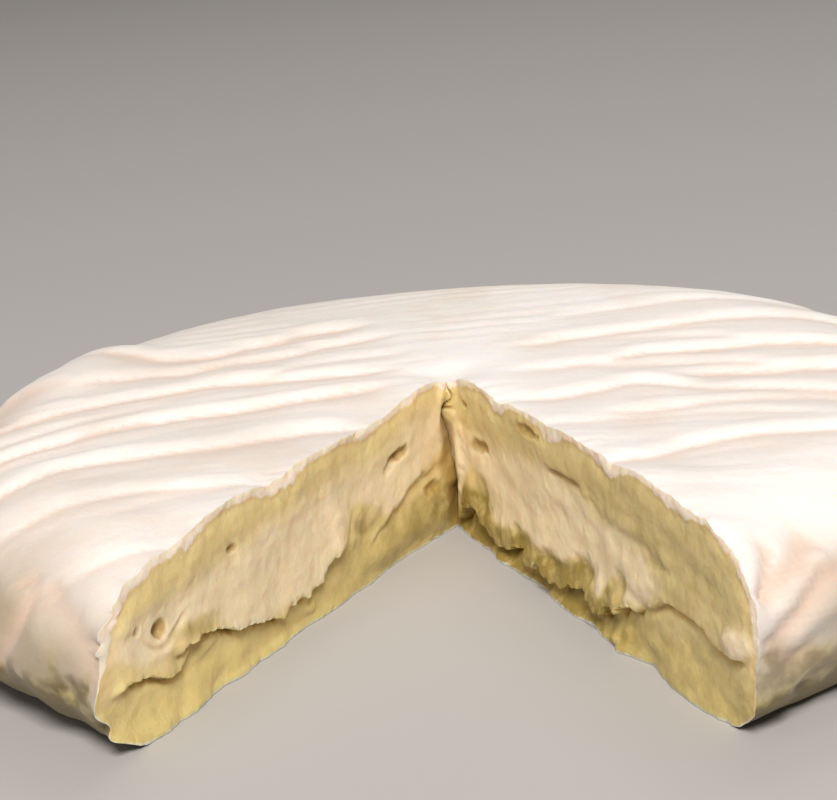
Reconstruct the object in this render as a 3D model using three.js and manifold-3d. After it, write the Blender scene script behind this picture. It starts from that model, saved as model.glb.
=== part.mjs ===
// A soft-ripened cheese wheel with one wedge cut out of it: a single solid.
// Millimetres, +Z up. It rests on Z = 0, and the missing wedge opens towards -Y.
// The origin is the centre of the underside of the wheel's bounding box.
import * as THREE from "three";
import { mergeVertices } from "three/addons/utils/BufferGeometryUtils.js";
import Module from "manifold-3d";

// Driving dimensions, in millimetres and degrees.
const RADIUS = 108; // at the widest part of the rim
const THICKNESS = 34; // at the middle of the wheel
const TOP_RISE = 1.2; // how much higher the +X edge of the top is than the middle
const TOP_SWELL = 0.5; // broad unevenness of the top
const SWELL_X = { length: 27, shift: 0.5 }; // spread of the swells, and their phase in radians
const SWELL_Y = { length: 22, shift: -0.4 };
const SHOULDER_WIDTH = 29; // from the flat top's edge out to the widest part
const FOOT_WIDTH = 14; // from the widest part in to the flat underside's edge
const WIDEST_HEIGHT = 16; // where the rim is widest, on average
const WIDEST_SHIFT = 4; // how far that height wanders round the wheel
const WIDEST_PHASE = 0.35; // turns the higher side round the wheel, in radians
const OUT_OF_ROUND = 1.1; // how far the rim wanders from a true circle
const RIM_WAVES = [
  // how many waves go round the rim, each one's share of OUT_OF_ROUND, and its phase in radians
  { count: 2, share: 0.6, phase: 0.8 },
  { count: 3, share: 0.4, phase: -1.1 },
  { count: 5, share: 0.25, phase: 2.0 },
];
const NOTCH_HALF_ANGLE = 26.6; // between the wedge's middle and each cut
const NOTCH_APEX_BACK = 13.5; // how far past the wheel's middle the two cuts meet
const NOTCH_MARGIN = 12; // how far the cutting prism passes the wheel on each side

// Mesh steps.
const TURN_STEPS = 112;
const TOP_STEPS = 4;
const SHOULDER_STEPS = 9;
const FOOT_STEPS = 6;
const UNDER_STEPS = 2;

const WHEEL_COLOUR = 0xefe3d2;
const WHEEL_ROUGHNESS = 0.8;

const wasm = await Module();
wasm.setup();

// The rim's radius at an angle round the wheel: a circle with slow waves on it.
function rimRadius(angle) {
  const waves = RIM_WAVES.map((w) => w.share * Math.cos(w.count * angle + w.phase));
  return RADIUS + OUT_OF_ROUND * waves.reduce((sum, wave) => sum + wave, 0);
}

// The height at which the rim is widest: higher on the +X side.
function widestHeight(angle) {
  return WIDEST_HEIGHT + WIDEST_SHIFT * Math.cos(angle + WIDEST_PHASE);
}

// The height of the flat top over a point: a slight slope, with soft swells.
function topHeight(x, y) {
  const swell =
    Math.cos(x / SWELL_X.length + SWELL_X.shift) * Math.cos(y / SWELL_Y.length + SWELL_Y.shift);
  return THICKNESS + (TOP_RISE * x) / RADIUS + TOP_SWELL * swell;
}

// One half-section of the wheel at an angle, from near the top's middle, over the
// shoulder, down the rim and under the foot, as points around the Z axis.
function sectionAt(angle) {
  const rim = rimRadius(angle);
  const widest = widestHeight(angle);
  const topEdge = rim - SHOULDER_WIDTH;
  const underEdge = rim - FOOT_WIDTH;
  const along = new THREE.Vector2(Math.cos(angle), Math.sin(angle));
  const points = [];
  const add = (radius, height) =>
    points.push(new THREE.Vector3(along.x * radius, along.y * radius, height));

  for (let i = 1; i <= TOP_STEPS; i++) {
    const radius = (topEdge * i) / TOP_STEPS;
    add(radius, topHeight(along.x * radius, along.y * radius));
  }
  const edgeHeight = topHeight(along.x * topEdge, along.y * topEdge);
  for (let i = 1; i <= SHOULDER_STEPS; i++) {
    const turn = (Math.PI / 2) * (i / SHOULDER_STEPS);
    const drop = (edgeHeight - widest) * Math.cos(turn);
    add(topEdge + SHOULDER_WIDTH * Math.sin(turn), widest + drop);
  }
  for (let i = 1; i <= FOOT_STEPS; i++) {
    const turn = (Math.PI / 2) * (i / FOOT_STEPS);
    const height = i === FOOT_STEPS ? 0 : widest * (1 - Math.sin(turn));
    add(underEdge + FOOT_WIDTH * Math.cos(turn), height);
  }
  for (let i = 1; i < UNDER_STEPS; i++) {
    add(underEdge * (1 - i / UNDER_STEPS), 0);
  }
  return points;
}

// The whole wheel, closed by a middle point on its top and one on its underside.
function wheelGeometry() {
  const vertices = [];
  const triangles = [];
  const sections = [];
  for (let i = 0; i < TURN_STEPS; i++) {
    sections.push(sectionAt((2 * Math.PI * i) / TURN_STEPS));
  }
  const rows = sections[0].length;
  sections.flat().forEach((p) => vertices.push(p.x, p.y, p.z));
  const topMiddle = vertices.length / 3;
  vertices.push(0, 0, topHeight(0, 0));
  const underMiddle = topMiddle + 1;
  vertices.push(0, 0, 0);

  for (let i = 0; i < TURN_STEPS; i++) {
    const here = i * rows;
    const next = ((i + 1) % TURN_STEPS) * rows;
    triangles.push(topMiddle, here, next);
    for (let j = 0; j < rows - 1; j++) {
      triangles.push(here + j, here + j + 1, next + j + 1);
      triangles.push(here + j, next + j + 1, next + j);
    }
    triangles.push(underMiddle, next + rows - 1, here + rows - 1);
  }
  const geometry = new THREE.BufferGeometry();
  geometry.setAttribute("position", new THREE.Float32BufferAttribute(vertices, 3));
  geometry.setIndex(triangles);
  return geometry;
}

// The prism that takes the wedge out: a V in plan, through the full thickness.
function notchGeometry() {
  const half = THREE.MathUtils.degToRad(NOTCH_HALF_ANGLE);
  const reach = RADIUS + NOTCH_APEX_BACK + NOTCH_MARGIN;
  const mouth = new THREE.Vector2(Math.sin(half), -Math.cos(half)).multiplyScalar(reach);
  const plan = new THREE.Shape([
    new THREE.Vector2(0, NOTCH_APEX_BACK),
    new THREE.Vector2(-mouth.x, NOTCH_APEX_BACK + mouth.y),
    new THREE.Vector2(0, -reach - NOTCH_MARGIN),
    new THREE.Vector2(mouth.x, NOTCH_APEX_BACK + mouth.y),
  ]);
  const depth = THICKNESS + 2 * NOTCH_MARGIN;
  const geometry = new THREE.ExtrudeGeometry(plan, { depth, bevelEnabled: false });
  return geometry.translate(0, 0, -NOTCH_MARGIN);
}

function toSolid(geometry) {
  geometry.deleteAttribute("normal");
  geometry.deleteAttribute("uv");
  const merged = mergeVertices(geometry);
  return new wasm.Manifold(
    new wasm.Mesh({
      numProp: 3,
      vertProperties: merged.getAttribute("position").array,
      triVerts: new Uint32Array(merged.index.array),
    }),
  );
}

function toGeometry(solid) {
  const mesh = solid.getMesh();
  const geometry = new THREE.BufferGeometry();
  geometry.setAttribute("position", new THREE.BufferAttribute(mesh.vertProperties, 3));
  geometry.setIndex(new THREE.BufferAttribute(mesh.triVerts, 1));
  geometry.computeVertexNormals();
  return geometry;
}

// Moves the geometry so that the middle of its bounding box's underside is at the origin.
function standOnOrigin(geometry) {
  geometry.computeBoundingBox();
  const { min, max } = geometry.boundingBox;
  return geometry.translate(-(min.x + max.x) / 2, -(min.y + max.y) / 2, -min.z);
}

const cutWheel = toSolid(wheelGeometry()).subtract(toSolid(notchGeometry()));
const cheeseWheel = new THREE.Mesh(
  standOnOrigin(toGeometry(cutWheel)),
  new THREE.MeshStandardMaterial({
    color: WHEEL_COLOUR,
    roughness: WHEEL_ROUGHNESS,
    metalness: 0,
  }),
);
cheeseWheel.name = "cheese_wheel";

const model = new THREE.Group();
model.add(cheeseWheel);

export default model;
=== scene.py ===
import bpy
import numpy as np
from mathutils import Matrix, Vector


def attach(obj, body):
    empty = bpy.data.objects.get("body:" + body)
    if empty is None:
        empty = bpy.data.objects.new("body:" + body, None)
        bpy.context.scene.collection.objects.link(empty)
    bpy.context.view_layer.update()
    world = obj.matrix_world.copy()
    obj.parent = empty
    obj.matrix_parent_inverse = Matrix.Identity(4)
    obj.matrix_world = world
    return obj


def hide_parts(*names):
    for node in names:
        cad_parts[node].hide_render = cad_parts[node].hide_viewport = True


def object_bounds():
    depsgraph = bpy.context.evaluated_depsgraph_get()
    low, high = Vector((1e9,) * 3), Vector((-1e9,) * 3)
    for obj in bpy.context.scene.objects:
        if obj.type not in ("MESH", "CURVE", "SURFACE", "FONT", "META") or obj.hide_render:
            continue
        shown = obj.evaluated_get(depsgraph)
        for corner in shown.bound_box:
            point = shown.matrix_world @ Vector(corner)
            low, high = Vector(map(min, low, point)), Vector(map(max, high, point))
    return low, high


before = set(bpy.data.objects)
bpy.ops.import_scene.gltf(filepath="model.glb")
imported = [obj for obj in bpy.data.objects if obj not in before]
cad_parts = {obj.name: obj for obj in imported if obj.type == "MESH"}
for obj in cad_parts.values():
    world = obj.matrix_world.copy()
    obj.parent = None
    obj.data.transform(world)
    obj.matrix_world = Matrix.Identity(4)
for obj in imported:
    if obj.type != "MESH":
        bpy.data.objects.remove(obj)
cadLow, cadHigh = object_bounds()
mm = 0.001

# The wheel's own proportions, in millimetres and degrees.
wheel = {
    "outOfRound": 0.0102,  # share of the radius that the rim wanders from a circle
    "riseOfTop": 1.2,  # how much higher the +X edge of the top is than the middle
    "swellOfTop": 0.5,
    "swellX": (27, 0.5),  # spread of the top's swells, and their phase in radians
    "swellY": (22, -0.4),
    "topAboveMiddle": 1.1,  # how far the top's highest point stands above its middle
    "shoulderWidth": 29.0,
    # how far the foot curls in, by turn round the wheel: slack on the left, tight beside the cuts
    "footWidth": [
        (-180, 26), (-155, 31), (-136, 27), (-125, 15), (-119, 11), (-90, 9), (-61, 9), (-57, 11.5),
        (-52, 11.5), (-30, 14), (0, 14), (90, 14), (150, 18), (180, 26),
    ],
    "widestHeight": 16.0,
    "widestShift": 4.0,
    "widestPhase": 0.35,
    "halfAngleOfCut": 26.6,
    "pointBehindAxis": 13.5,  # where the two cuts meet, behind the wheel's own axis
    "rimSoftness": 12.0,  # how early the rows of the mesh close up towards the rim
    "cutStep": 0.46,  # mesh steps
    "rindStep": 1.12,
    "underStep": 2.8,
    "longestRow": 125,  # from the point of the cut to the rim, at the back and on average
    "usualRow": 106,
    "fineFoot": 24,  # how far in from the rim the underside keeps the rind's step
    "bandOffsets": (0.0, 0.45, 0.95, 1.55, 2.3, 3.2),  # rows of the fine band beside each cut
    "bandWidth": 4.2,
    "bandTaper": 6.0,  # how slowly the band opens out from the point of the cut
}


def waves(turn):
    # slow waves round the rim: the sum of three cosines of 2, 3 and 5 times the angle
    return 0.6 * np.cos(2 * turn + 0.8) + 0.4 * np.cos(3 * turn - 1.1) + 0.25 * np.cos(5 * turn + 2.0)


# The CAD box gives the real size: the rim's outline is scaled to it and laid against its back.
roundTurns = np.linspace(0, 2 * np.pi, 1441)
roundShape = 1 + wheel["outOfRound"] * waves(roundTurns)
roundX, roundY = roundShape * np.cos(roundTurns), roundShape * np.sin(roundTurns)
radius = (cadHigh.x - cadLow.x) / mm / (roundX.max() - roundX.min())
axisX = (cadHigh.x + cadLow.x) / 2 / mm - radius * (roundX.max() + roundX.min()) / 2
axisY = cadHigh.y / mm - radius * roundY.max()
middleHeight = cadHigh.z / mm - wheel["topAboveMiddle"]
cutAngle = np.radians(wheel["halfAngleOfCut"])
pointOfCut = np.array([0.0, wheel["pointBehindAxis"]])
turnRight, turnLeft = -np.pi / 2 + cutAngle, 1.5 * np.pi - cutAngle  # directions of the two cuts

# The camera stands in front of the cut, a little to its right, and looks down on it.
view = {
    "turn": 3.75,
    "elevation": 17.4,
    "yaw": -1.003,
    "pitch": 0.057,
    "roll": -3.87,
    "distance": 433.7,
    "aimHeight": 32.1,
    "aimBeside": 2.44,  # the axis of the lens passes this far beside the point of the cut
    "aimBefore": 13.17,
    "lens": 92.9,
}


def swing(a, b, angle):
    # turns a towards b, and b along with it: a cos + b sin, and b cos - a sin
    return a * np.cos(angle) + b * np.sin(angle), b * np.cos(angle) - a * np.sin(angle)


def makeCamera():
    names = ("turn", "elevation", "yaw", "pitch", "roll")
    turn, rise, yaw, pitch, roll = np.radians([view[name] for name in names])
    spin = np.array([[np.cos(turn), -np.sin(turn), 0], [np.sin(turn), np.cos(turn), 0], [0, 0, 1]])
    ahead = np.array([0, np.cos(rise), -np.sin(rise)])
    aside = np.array([1.0, 0, 0])
    above = np.cross(aside, ahead)
    ahead, aside = swing(ahead, aside, yaw)
    ahead, above = swing(ahead, above, pitch)
    aside, above = swing(aside, above, roll)
    back = view["distance"] * np.array([0, -np.cos(rise), np.sin(rise)])
    aim = np.array([axisX, axisY + pointOfCut[1], view["aimHeight"]])
    aim = aim + np.array([view["aimBeside"], -view["aimBefore"], 0])
    place = (aim + spin @ back) * mm
    turned = np.stack([spin @ aside, spin @ above, -(spin @ ahead)], axis=1)
    data = bpy.data.cameras.new("camera")
    data.lens = view["lens"]
    data.clip_start = 0.02
    data.clip_end = 30.0
    camera = bpy.data.objects.new("camera", data)
    camera.matrix_world = Matrix.Translation(Vector(place)) @ Matrix(turned.tolist()).to_4x4()
    bpy.context.scene.collection.objects.link(camera)
    bpy.context.scene.camera = camera


makeCamera()
print("camera placed")


def easeStep(low, high, value):
    # 0 below low, 1 above high, and 3t^2 - 2t^3 in between
    t = np.clip((value - low) / (high - low), 0, 1)
    return t * t * (3 - 2 * t)


def bell(value, width):
    # a round hump: e^(-(value / width)^2)
    return np.exp(-((value / width) ** 2))


def lineAt(spots, at):
    # a smooth line through a few spots (position, value): cubic pieces that share their slopes
    spots = np.array(spots, float)
    x, y = spots[:, 0], spots[:, 1]
    slope = np.gradient(y, x)
    at = np.clip(at, x[0], x[-1])
    i = np.clip(np.searchsorted(x, at) - 1, 0, len(x) - 2)
    gap = x[i + 1] - x[i]
    t = (at - x[i]) / gap
    rise = (2 * t**3 - 3 * t**2 + 1) * y[i] + (3 * t**2 - 2 * t**3) * y[i + 1]
    return rise + gap * ((t**3 - 2 * t**2 + t) * slope[i] + (t**3 - t**2) * slope[i + 1])


def sheet(a, b):
    # places on a flat sheet, from two rows of numbers
    return np.stack([a, b, np.zeros_like(a)], axis=-1)


def noiseAt(places, size, seed):
    # gradient noise: random slopes on a lattice of the given size, blended by 6t^5 - 15t^4 + 10t^3
    rng = np.random.default_rng(seed)
    ways = rng.normal(size=(256, 3))
    ways /= np.linalg.norm(ways, axis=1, keepdims=True)
    order = rng.permutation(256)
    cell = places / size
    low = np.floor(cell).astype(int)
    part = cell - low
    ease = part**3 * (part * (part * 6 - 15) + 10)
    total = np.zeros(len(places))
    for corner in np.ndindex(2, 2, 2):
        near = (low + corner) & 255
        pick = order[(order[(order[near[:, 0]] + near[:, 1]) & 255] + near[:, 2]) & 255]
        share = np.prod(np.where(corner, ease, 1 - ease), axis=1)
        total += share * ((part - corner) * ways[pick]).sum(axis=1)
    return 1.5 * total


def roughAt(places, size, seed, layers=3):
    # several layers of noise, each half the size and half the strength of the last
    return sum(noiseAt(places, size / 2**k, seed + k) / 2**k for k in range(layers))


def rimRadius(turn):
    return radius * (1 + wheel["outOfRound"] * waves(turn))


def widestHeight(turn):
    return wheel["widestHeight"] + wheel["widestShift"] * np.cos(turn + wheel["widestPhase"])


def topHeight(x, y):
    # a slight slope along X with soft swells: a product of two cosines
    (sizeX, phaseX), (sizeY, phaseY) = wheel["swellX"], wheel["swellY"]
    swell = np.cos(x / sizeX + phaseX) * np.cos(y / sizeY + phaseY)
    return middleHeight + wheel["riseOfTop"] * x / radius + wheel["swellOfTop"] * swell


def fromPoint(places):
    # distance in plan from the point of the cut
    return np.hypot(places[..., 0] - pointOfCut[0], places[..., 1] - pointOfCut[1])


def reachFromPoint(turn):
    # distance from the point of the cut to the rim: where a ray meets a circle of the rim's radius there
    along = np.stack([np.cos(turn), np.sin(turn)], axis=-1)
    lead = along @ pointOfCut
    reach = np.sqrt(lead**2 + radius**2 - pointOfCut @ pointOfCut) - lead
    for _ in range(6):
        spot = pointOfCut + reach[..., None] * along
        rim = rimRadius(np.arctan2(spot[..., 1], spot[..., 0]))
        reach = np.sqrt(lead**2 + rim**2 - pointOfCut @ pointOfCut) - lead
    return reach


def rindPlaces(turn, share, under):
    # the wheel's plain outside: turn is a direction from the point of the cut, and share runs from 0 there
    # to 1 at the rim. The shoulder and the foot are quarter ellipses: height times sqrt(1 - distance^2)
    soft = wheel["rimSoftness"]
    reach = reachFromPoint(turn)
    run = np.sqrt((reach + soft) ** 2 - soft**2) * (1 - share)
    out = reach + soft - np.sqrt(run**2 + soft**2)
    x = pointOfCut[0] + out * np.cos(turn)
    y = pointOfCut[1] + out * np.sin(turn)
    around = np.arctan2(y, x)
    rim, widest = rimRadius(around), widestHeight(around)
    inFromRim = rim - np.hypot(x, y)
    overShoulder = np.clip(1 - inFromRim / wheel["shoulderWidth"], 0, 1)
    underFoot = np.clip(1 - inFromRim / lineAt(wheel["footWidth"], np.degrees(around)), 0, 1)
    upper = widest + (topHeight(x, y) - widest) * np.sqrt(1 - overShoulder**2)
    lower = widest * (1 - np.sqrt(1 - underFoot**2))
    return np.stack([x, y, np.where(under, lower, upper)], axis=-1)


# The mesh is one closed net. A row is a run of vertex numbers, and zipRows joins rows of any two lengths.
net = {"places": [], "count": 0, "rind": [], "cut": [], "bands": {}}


def addPlaces(places):
    first = net["count"]
    net["places"].append(places.reshape(-1, 3))
    net["count"] += len(places.reshape(-1, 3))
    return np.arange(first, net["count"])


def zipRows(rowA, spotsA, rowB, spotsB):
    # steps along both rows in the order of their spots, with one triangle at each step
    half = np.concatenate([(spotsA[1:] + spotsA[:-1]) / 2, (spotsB[1:] + spotsB[:-1]) / 2])
    onA = np.concatenate([np.ones(len(spotsA) - 1, int), np.zeros(len(spotsB) - 1, int)])
    onA = onA[np.argsort(half, kind="stable")]
    i = np.cumsum(onA) - onA
    j = np.cumsum(1 - onA) - (1 - onA)
    nextA, nextB = rowA[np.minimum(i + 1, len(rowA) - 1)], rowB[np.minimum(j + 1, len(rowB) - 1)]
    return np.stack([rowA[i], rowB[j], np.where(onA == 1, nextA, nextB)], axis=1)


def fanTo(row, tip):
    return np.stack([row[:-1], np.full(len(row) - 1, tip), row[1:]], axis=1)


def layBand(name, cutTurn, sign, tips):
    # the fine band beside a cut, from its point out over the top, down the side and back underneath
    soft = wheel["rimSoftness"]
    offsets = np.array(wheel["bandOffsets"])
    reach = reachFromPoint(np.array([cutTurn]))[0]
    fullRun = np.sqrt((reach + soft) ** 2 - soft**2)
    steps = int(round(fullRun / wheel["cutStep"]))
    share = np.concatenate([np.arange(1, steps + 1), np.arange(steps - 1, 0, -1)]) / steps
    under = np.arange(1, 2 * steps) > steps
    out = reach + soft - np.sqrt((fullRun * (1 - share)) ** 2 + soft**2)
    turn = cutTurn + sign * offsets[None, :] / (out[:, None] + wheel["bandTaper"])
    places = rindPlaces(turn, np.broadcast_to(share[:, None], turn.shape), under[:, None])
    ids = addPlaces(places).reshape(turn.shape)
    width = np.ones((1, len(offsets)), int)
    ids = np.concatenate([tips[0] * width, ids, tips[1] * width])
    spots = np.concatenate([[0], np.where(under, 1 - share / 2, share / 2), [1]])
    net["bands"][name] = {"ids": ids, "spots": spots, "steps": steps, "turn": cutTurn}
    a, b, c, d = ids[:-1, :-1], ids[1:, :-1], ids[1:, 1:], ids[:-1, 1:]
    faces = np.concatenate([np.stack([a, b, c], -1).reshape(-1, 3), np.stack([a, c, d], -1).reshape(-1, 3)])
    net["rind"].append(faces if sign == 1 else faces[:, ::-1])


def layRind(tips):
    # the rest of the rind, in rows round the back from one band to the other
    longest, fine = wheel["longestRow"], wheel["rindStep"]
    topCount = int(round(longest / fine))
    topShare = np.arange(1, topCount + 1) / topCount
    fineEnd = 1 - wheel["fineFoot"] / longest
    fineShare = 1 - np.arange(1, int(wheel["fineFoot"] / fine) + 1) * fine / longest
    coarseShare = np.linspace(fineEnd, 0, int(round(fineEnd * longest / wheel["underStep"])) + 1)[1:-1]
    shares = np.concatenate([topShare, fineShare, coarseShare])
    unders = np.arange(len(shares)) >= topCount
    gaps = np.where(np.arange(len(shares)) < topCount + len(fineShare), fine, wheel["underStep"])
    rows, rowSpots = [], []
    for share, under, gap in zip(shares, unders, gaps):
        out = wheel["usualRow"] * share
        trim = wheel["bandWidth"] / (out + wheel["bandTaper"])
        count = max(6, int(round((turnLeft - turnRight - 2 * trim) * out / gap)))
        turn = np.linspace(turnRight + trim, turnLeft - trim, count)
        rows.append(addPlaces(rindPlaces(turn, np.full(count, share), np.full(count, under))))
        rowSpots.append(np.linspace(0, 1, count))
    for k in range(len(rows) - 1):
        net["rind"].append(zipRows(rows[k], rowSpots[k], rows[k + 1], rowSpots[k + 1]))
    net["rind"].append(fanTo(rows[0], tips[0][0])[:, [1, 0, 2]])
    net["rind"].append(fanTo(rows[-1], tips[1][0])[:, [2, 0, 1]])
    ends = np.concatenate([[0], np.where(unders, 1 - shares / 2, shares / 2), [1]])
    for name, pick, flip in (("right", 0, True), ("left", -1, False)):
        edge = np.concatenate([tips[0], [row[pick] for row in rows], tips[1]])
        band = net["bands"][name]
        joined = zipRows(band["ids"][:, -1], band["spots"], edge, ends)
        net["rind"].append(joined[:, ::-1] if flip else joined)


def layCuts(tips):
    # the cut faces, in upright columns from the lower edge to the upper, sharing the line where they meet
    step = wheel["cutStep"]
    heights = np.concatenate(net["places"])[:, 2]
    sharedCount = int(round(heights[tips[0][0]] / step)) - 1
    sharedColumn = np.concatenate([tips[1], addPlaces(np.zeros((sharedCount, 3))), tips[0]])
    for name, flip in (("right", False), ("left", True)):
        band = net["bands"][name]
        steps = band["steps"]
        columns = [sharedColumn]
        for i in range(1, steps + 1):
            top, bottom = band["ids"][i, 0], band["ids"][2 * steps - i, 0]
            if top == bottom:
                columns.append(np.array([top]))
                continue
            count = max(1, int(round((heights[top] - heights[bottom]) / step)) - 1)
            columns.append(np.concatenate([[bottom], addPlaces(np.zeros((count, 3))), [top]]))
        band["columns"] = columns
        for a, b in zip(columns[:-1], columns[1:]):
            joined = fanTo(a, b[0])
            if len(b) > 1:
                joined = zipRows(a, np.linspace(0, 1, len(a)), b, np.linspace(0, 1, len(b)))
            net["cut"].append(joined[:, ::-1] if flip else joined)


def buildNet():
    tips = []  # the point of the cut, on the top and on the underside
    for under in (False, True):
        tips.append(addPlaces(rindPlaces(np.array([np.pi / 2]), np.zeros(1), np.array([under]))))
    layBand("right", turnRight, 1, tips)
    layBand("left", turnLeft, -1, tips)
    layRind(tips)
    layCuts(tips)
    print("net laid out with", net["count"], "vertices")


# The rind. Its folds are valleys that a finger would feel. Each is a line of a few spots (across, away) on
# the top, seen along the grain, and a depth. It has a steep far side and a long near side.
rind = {
    "grainTurn": 3.75,
    "grainShift": (2.46, 0.2),
    "folds": [
        ([(-82, 50), (-72, 45), (-62, 41.5), (-52, 42), (-42, 48), (-30, 55), (-18, 58)], 1.0),
        ([(-82, 24), (-68, 30), (-57, 31), (-49, 35.5), (-37, 37), (-27, 43), (-12, 47)], 0.8),
        ([(-52, 22), (-40, 21), (-33, 26), (-22, 29), (-8, 30)], 0.4),
        ([(-100, 2), (-84, 8), (-68, 14), (-55, 18), (-45, 20), (-30, 18.5), (-10, 18)], 0.95),
        ([(-100, -8), (-86, -6), (-75, 2), (-66, 7), (-58, 9)], 0.5),
        ([(-104, -24), (-84, -15), (-68, -4), (-58, -2), (-45, -1), (-30, 4), (-12, 8.5)], 1.0),
        ([(-100, -28), (-83, -20), (-74, -14), (-66, -12)], 0.45),
        ([(-96, -44), (-80, -32), (-72, -27), (-60, -25), (-45, -22), (-30, -17.5), (-16, -14)], 0.9),
        ([(-90, -58), (-74, -51), (-62, -46), (-50, -45), (-34, -44)], 0.65),
        ([(-64, -57), (-56, -51), (-46, -46.5), (-36, -45)], 0.4),
        ([(-76, -78), (-62, -73), (-48, -70.5), (-40, -71)], 0.5),
        ([(20, 50), (38, 53), (52, 56), (70, 54), (84, 50)], 0.4),
        ([(12, 29), (30, 34), (46, 37.5), (60, 40), (76, 37), (92, 32)], 0.7),
        ([(28, 31), (42, 30.5), (54, 27), (64, 22)], 0.4),
        ([(30, 13), (40, 19), (54, 19.5), (64, 20.5), (78, 17), (96, 12)], 0.9),
        ([(10, 9), (24, 12.5), (40, 12), (52, 9.5), (66, 4)], 0.6),
        ([(44, 2), (50, 3), (60, 2.5), (74, 1), (92, -4)], 1.2),
        ([(10, -11), (26, -6), (38, -1.2), (43, -4.5), (54, -8), (68, -14), (84, -20)], 0.8),
        ([(28, -22), (42, -19.5), (54, -16.5), (66, -17.5), (82, -22)], 0.6),
        ([(12, -30), (24, -26.5), (38, -24), (52, -24.5), (70, -30)], 0.45),
        ([(22, -54), (34, -49), (42, -43.5), (52, -40.5), (70, -40), (88, -46)], 0.85),
        ([(34, -51), (42, -48.5), (52, -46.5), (60, -47)], 0.4),
    ],
    "foldStrength": 1.4,
    "foldFar": 2.2,  # how far the steep side of a fold reaches, then its long side
    "foldNear": 7.0,
    "wrinkles": 0.42,  # strength of the small parallel wrinkles between the folds
    "fineWrinkles": 0.17,
    "dents": 1.0,
    "crimps": 0.6,
    "grit": 0.16,
    "dipAtPoint": 1.9,  # the top sinks round the point of the cut
    # creases in the side: a line of (turn in degrees, height), depth and reach. A depth below 0 is a ridge
    "creases": [
        ([(-58.8, 24.9), (-58, 26.1), (-57, 28), (-56, 29.6)], 1.6, 0.9),
        ([(-58.6, 24.8), (-57, 26.1), (-55.2, 27), (-53.5, 27.9), (-51, 29.2)], 1.1, 1.5),
        ([(-57.4, 22.5), (-55.6, 24.6), (-53.5, 26.0), (-51, 27.2)], -0.8, 1.3),
        ([(-58.8, 17.8), (-57.2, 19.2), (-55.8, 21.4), (-54.5, 23.2), (-52.5, 24.4),
          (-49, 25.4)], 1.2, 1.5),
        ([(-56.2, 17.5), (-53.6, 20.2), (-50, 22.2), (-45, 23)], -1.1, 2.4),
        ([(-59, 15.4), (-57, 14.6), (-54.6, 14.4)], 1.1, 1.2),
        ([(-58, 8.4), (-55.5, 8.0), (-53.5, 6.9)], 0.8, 1.0),
        ([(-55.5, 11.6), (-53, 12.4), (-49, 11.6)], -1.0, 2.0),
        ([(-134, 25.8), (-133.2, 26.6), (-132.2, 27.1)], 1.1, 0.7),
        ([(-129.8, 27.2), (-129, 27.1), (-127.9, 26.6)], 1.0, 0.8),
        ([(-130.2, 26), (-128, 25.3), (-126, 24.7), (-123.5, 23.4), (-121.4, 21.2)], 0.7, 1.8),
        ([(-131.5, 25), (-130.6, 22.0), (-132, 18), (-134, 13)], 1.0, 1.6),
        ([(-128.5, 21.5), (-126.5, 19.5)], -1.2, 4.0),
        ([(-124, 12), (-121.5, 15), (-120.3, 20)], 0.8, 2.0),
        ([(-61, 7), (-57, 7.5)], -1.6, 4.0),
        ([(151, 31), (157, 32.5), (163, 31)], -2.3, 8.0),
        ([(166, 29), (173, 27.5), (178, 29)], 1.0, 3.0),
        ([(60, 28), (72, 26), (85, 28), (96, 26)], 0.9, 2.4),
        ([(8, 24), (18, 21), (30, 23), (38, 20)], 0.9, 2.2),
    ],
    # by turn round the wheel: how aged the side is (partly painted shade, most on the left), and how high
    # and how strong the damp of the foot is (partly painted shade)
    "agedAndShade": [
        (-180, 1.0), (-150, 1.2), (-132, 1.25), (-120, 1.0), (-90, 0.7), (-61, 0.45), (-56, 0.65),
        (-51, 0.95), (-40, 0.6), (0, 0.5), (90, 0.6), (150, 0.8), (180, 1.0),
    ],
    "dampHeight": [
        (-180, 10), (-150, 11), (-137, 14.5), (-130, 12), (-121, 11.5), (-90, 10), (-61, 15.5), (-52, 17),
        (-40, 13), (0, 7), (90, 7), (150, 9), (180, 10),
    ],
    "dampShare": [
        (-180, 0.8), (-150, 1), (-121, 1), (-90, 0.7), (-61, 0.66), (-45, 0.64), (0, 0.7), (150, 0.75),
        (180, 0.8),
    ],
}


def acrossGrain(x, y):
    across, away = swing(x, y, np.radians(rind["grainTurn"]))
    return across - rind["grainShift"][0], away - rind["grainShift"][1]


def foldRelief(x, y):
    # the sum of the folds: each is minus depth times e^(-distance / reach), with one reach on each side
    across, away = acrossGrain(x, y)
    places = sheet(across, away)
    across = across + 1.5 * noiseAt(places, 14.0, 40)
    away = away + 0.8 * noiseAt(places, 9.0, 41)
    relief = np.zeros(len(x))
    foldShade = np.zeros(len(x))
    for line, depth in rind["folds"]:
        gap = away - lineAt(line, across)
        start, end = line[0][0], line[-1][0]
        ends = easeStep(start - 3, start + 9, across) * (1 - easeStep(end - 9, end + 3, across))
        shape = np.exp(-np.abs(gap) / np.where(gap > 0, rind["foldFar"], rind["foldNear"]))
        crest = 0.4 * bell(gap - 4.2, 3.4)
        relief += rind["foldStrength"] * depth * ends * (crest - shape)
        # painted shade: a warm darkening on the near slope of each fold, which faces away from the light,
        # fading over a few millimetres
        nearer = np.maximum(-gap, 0)
        shade = easeStep(-0.9, 0.3, -gap) * (0.4 * np.exp(-nearer / 2.6) + 0.6 * np.exp(-nearer / 9.0))
        foldShade = np.maximum(foldShade, min(depth, 1.0) * ends * shade)
    return relief, foldShade


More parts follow.
